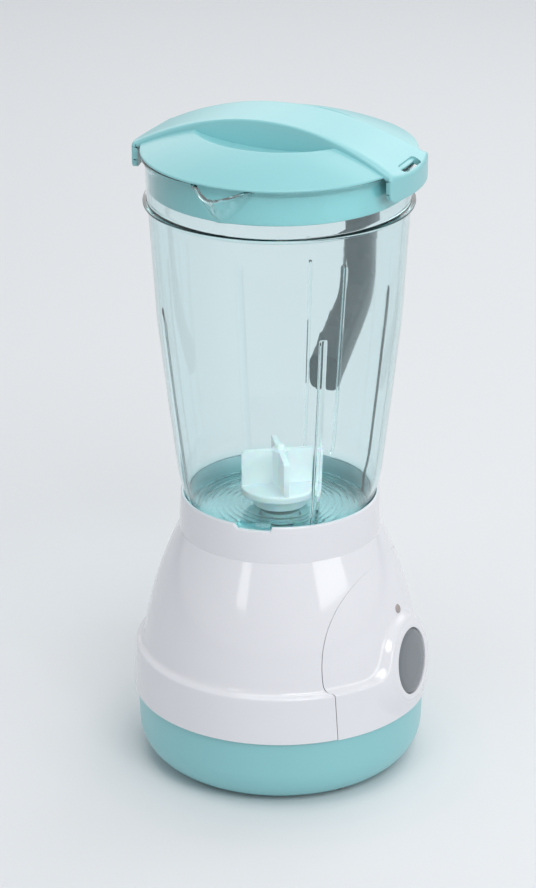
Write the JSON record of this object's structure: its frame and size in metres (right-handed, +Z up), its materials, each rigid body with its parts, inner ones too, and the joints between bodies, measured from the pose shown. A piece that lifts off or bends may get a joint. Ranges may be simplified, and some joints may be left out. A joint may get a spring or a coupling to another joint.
{
  "type": "toy blender",
  "caption": "Toy kitchen blender: white bell base with a push button, clear jug with spout and handle, mint lid with finger grips, spinning mixer.",
  "frame": {"origin": "on the table under the base's axis, in the plane of the foot pads' undersides", "axes": "+Z up along the drive axis; -Y is the front with the button; +X is the handle's side and -X the spout's"},
  "size_m": [0.1496, 0.1129, 0.2555],
  "materials": {
    "white_shell": "glossy white moulding",
    "mint_shell": "glossy mint moulding",
    "clear_shell": "clear aqua-tinted plastic",
    "slate_plastic": "dark slate grey plastic",
    "button_plastic": "dark grey glossy plastic",
    "frosted_plastic": "translucent white plastic",
    "lens": "small smoked window",
    "lamp": "lamp body",
    "steel": "bright steel",
    "contact_metal": "nickel-plated spring steel",
    "motor_steel": "pressed steel can",
    "brass_part": "turned brass",
    "inner_plastic": "natural acetal",
    "coupling_plastic": "white acetal",
    "switch_plastic": "black switch plastic",
    "board": "paper-phenolic board",
    "chip": "black resin",
    "lead": "insulated lead",
    "speaker_paper": "paper cone",
    "pad_rubber": "soft rubber",
    "cell_jacket": "plain cell jacket"
  },
  "bodies": {
    "base": {"base_cover": "mint_shell", "base_housing": "white_shell", "battery_cell_1": "cell_jacket", "battery_cell_2": "cell_jacket", "battery_cell_3": "cell_jacket", "button_spring": "steel", "case_screws": "steel", "circuit_board": "board", "contact_plates": "contact_metal", "contact_springs": "contact_metal", "drive_bushing": "brass_part", "foot_pad_1": "pad_rubber", "foot_pad_2": "pad_rubber", "foot_pad_3": "pad_rubber", "foot_pad_4": "pad_rubber", "front_panel": "white_shell", "gearbox_plate": "inner_plastic", "gearbox_screws": "steel", "led_lamp": "lamp", "led_lens": "lens", "motor_can": "motor_steel", "sound_chip": "chip", "speaker_cone": "speaker_paper", "speaker_frame": "steel", "tact_switch": "switch_plastic", "wires": "lead"},
    "lid": {"lid_top": "mint_shell", "lid_plug": "mint_shell"},
    "jug": {"jug": "clear_shell", "handle": "slate_plastic", "jug_bushing": "brass_part"},
    "mixer": {"impeller": "frosted_plastic", "impeller_shaft": "steel", "driven_coupling": "coupling_plastic", "shaft_washer": "steel"},
    "drive": {"drive_gear": "inner_plastic", "drive_shaft": "steel", "drive_coupling": "coupling_plastic"},
    "motor_rotor": {"motor_pinion": "brass_part"},
    "button": {"push_button": "button_plastic", "switch_plunger": "switch_plastic"},
    "battery_hatch": {"battery_door": "mint_shell", "door_screw": "steel"}
  },
  "joints": [
    {"name": "jug_lift", "type": "slide", "parent": "base", "child": "jug", "axis": [0, 0, 1], "range_m": [0, 0.06]},
    {"name": "lid_lift", "type": "slide", "parent": "jug", "child": "lid", "axis": [0, 0, 1], "range_m": [0, 0.05]},
    {"name": "drive_spin", "type": "hinge", "parent": "base", "child": "drive", "pos_m": [0, 0, 0.08], "axis": [0, 0, 1], "continuous": true},
    {"name": "motor_spin", "type": "hinge", "parent": "base", "child": "motor_rotor", "pos_m": [0, 0.0176, 0.08], "axis": [0, 0, 1], "continuous": true},
    {"name": "mixer_spin", "type": "hinge", "parent": "jug", "child": "mixer", "pos_m": [0, 0, 0.11], "axis": [0, 0, 1], "continuous": true},
    {"name": "button_press", "type": "slide", "parent": "base", "child": "button", "axis": [0, 0.9907, -0.1357], "range_m": [0, 0.0025], "stiffness_N_per_m": 350, "springref_m": -0.0005, "deforming": ["button_spring"]},
    {"name": "battery_door_drop", "type": "slide", "parent": "base", "child": "battery_hatch", "axis": [0, 0, -1], "range_m": [0, 0.03]}
  ],
  "couplings": [
    {"joint": "motor_spin", "follows": "drive_spin", "ratio": -2.6667},
    {"joint": "mixer_spin", "follows": "drive_spin", "ratio": 1}
  ]
}
